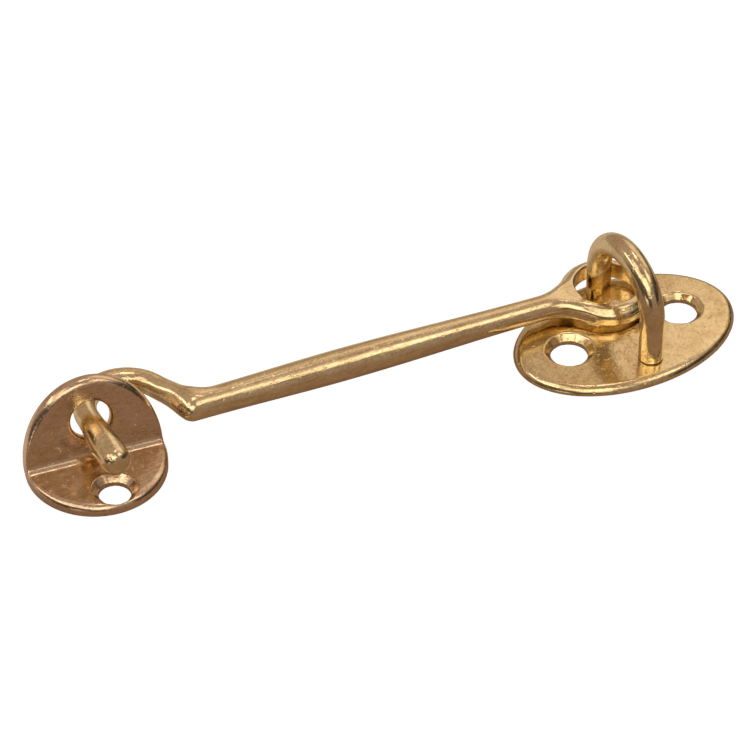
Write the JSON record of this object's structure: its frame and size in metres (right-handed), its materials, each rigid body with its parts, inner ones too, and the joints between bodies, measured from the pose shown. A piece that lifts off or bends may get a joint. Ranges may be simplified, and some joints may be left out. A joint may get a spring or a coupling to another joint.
{
  "type": "hook and eye latch",
  "caption": "Brass hook and eye latch: a swan-necked hook swings on a riveted staple on an oval base plate, and its tip passes through the eye of a bent keeper.",
  "frame": {"origin": "middle of the base plate, halfway between its two screw holes, on its back face", "axes": "+Z stands off the mounting face, X runs along the base plate's long axis with the keeper towards -X, +Y towards the staple leg that carries the hook"},
  "size_m": [0.1146, 0.0373, 0.0187],
  "materials": {
    "plate_brass": "polished",
    "staple_brass": "polished",
    "hook_brass": "polished",
    "keeper_brass": "brushed and polished"
  },
  "bodies": {
    "fixed_plates": {"base_plate": "plate_brass", "staple": "staple_brass", "keeper": "keeper_brass"},
    "hook": {"hook": "hook_brass"}
  },
  "joints": [
    {"name": "hook_swing", "type": "hinge", "parent": "fixed_plates", "child": "hook", "pos_m": [0, 0.00775, 0.004], "axis": [0, 0, -1], "range_deg": [0, 180]}
  ]
}
